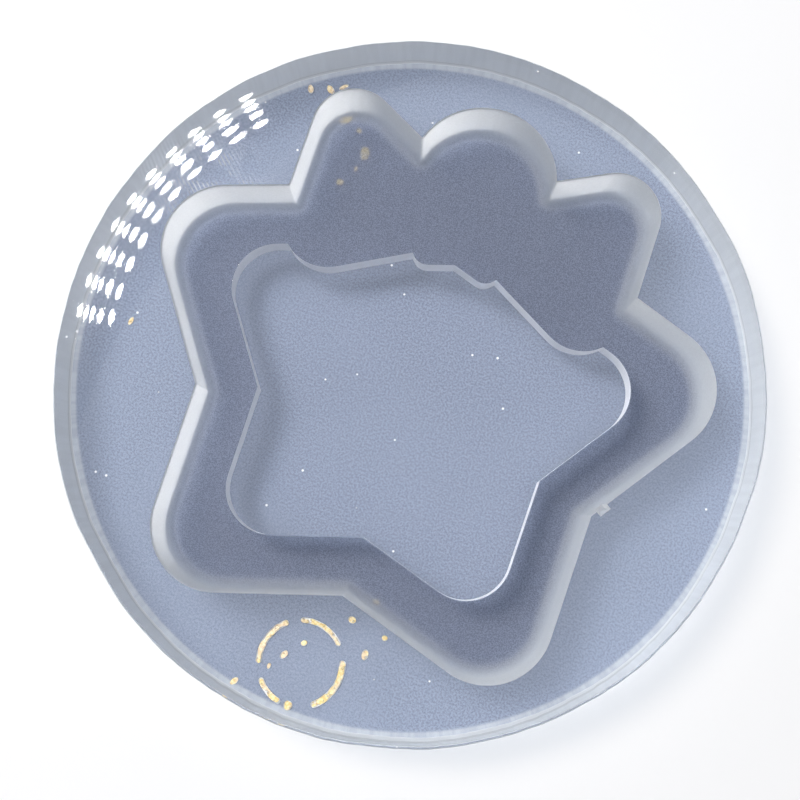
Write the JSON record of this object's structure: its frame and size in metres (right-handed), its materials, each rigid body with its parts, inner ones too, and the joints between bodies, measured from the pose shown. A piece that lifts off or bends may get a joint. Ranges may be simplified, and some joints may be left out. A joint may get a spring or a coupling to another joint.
{
  "type": "resin casting mould",
  "caption": "Round translucent silicone mould with a deep crested-star cavity and a raised clear block that leaves a window recess in the resin casting",
  "frame": {"origin": "centre of the flat underside", "axes": "+Z out of the cavity's mouth, +Y along the cavity's line of symmetry towards its crest"},
  "size_m": [0.114, 0.114, 0.0145],
  "materials": {
    "silicone": "translucent silicone, glossy outside and frosted in the cavity",
    "silicone_gloss": "translucent silicone, smooth and glossy",
    "gold_leaf": "thin crumpled gold leaf"
  },
  "bodies": {
    "root": {"silicone_body": "silicone", "window_island": "silicone_gloss", "gold_ring_residue": "gold_leaf", "gold_flecks": "gold_leaf"}
  },
  "joints": []
}
